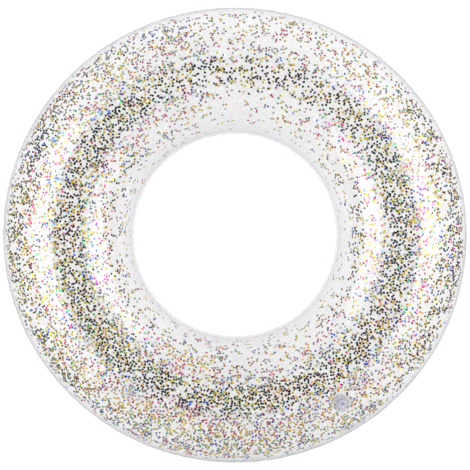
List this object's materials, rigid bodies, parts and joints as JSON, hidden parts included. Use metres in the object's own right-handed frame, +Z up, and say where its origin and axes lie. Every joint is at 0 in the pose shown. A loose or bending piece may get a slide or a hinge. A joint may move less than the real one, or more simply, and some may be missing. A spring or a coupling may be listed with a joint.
{
  "type": "inflatable pool float",
  "caption": "Clear inflatable swim ring with loose holographic foil dots sealed inside and a push-in plug valve; a swimmer sits in or holds its centre hole.",
  "frame": {"origin": "middle of the ring on the surface that it rests on", "axes": "+Z up along the axis of the centre hole; +X and +Y lie in the plane of the ring, with the valve towards +X and -Y"},
  "size_m": [0.9, 0.9, 0.2424],
  "materials": {
    "clear_vinyl": "clear glossy film, welded at the seams",
    "holographic_foil": "mirror foil that splits white light into colours",
    "valve_vinyl": "soft translucent moulding, satin",
    "plug_vinyl": "soft translucent moulding, faint lilac grey, satin"
  },
  "bodies": {
    "ring": {"upper_skin": "clear_vinyl", "lower_skin": "clear_vinyl", "glitter_upper": "holographic_foil", "glitter_lower": "holographic_foil", "valve_flange": "valve_vinyl", "valve_cuff": "valve_vinyl"},
    "stem": {"valve_stem": "valve_vinyl", "plug_strap": "plug_vinyl"},
    "plug": {"valve_plug": "plug_vinyl"},
    "flap": {"check_flap": "valve_vinyl"}
  },
  "joints": [
    {"name": "stem_pull", "type": "slide", "parent": "ring", "child": "stem", "axis": [0.2807, -0.4407, 0.8526], "range_m": [0, 0.018], "deforming": ["valve_cuff"]},
    {"name": "plug_pull", "type": "slide", "parent": "stem", "child": "plug", "axis": [0.2807, -0.4407, 0.8526], "range_m": [0, 0.01], "deforming": ["plug_strap"]},
    {"name": "flap_swing", "type": "hinge", "parent": "stem", "child": "flap", "pos_m": [0.20535, -0.32234, 0.2013], "axis": [-0.8434, -0.5373, 0], "range_deg": [0, 50], "stiffness_Nm_per_rad": 0.0005, "springref_deg": -5.73}
  ]
}
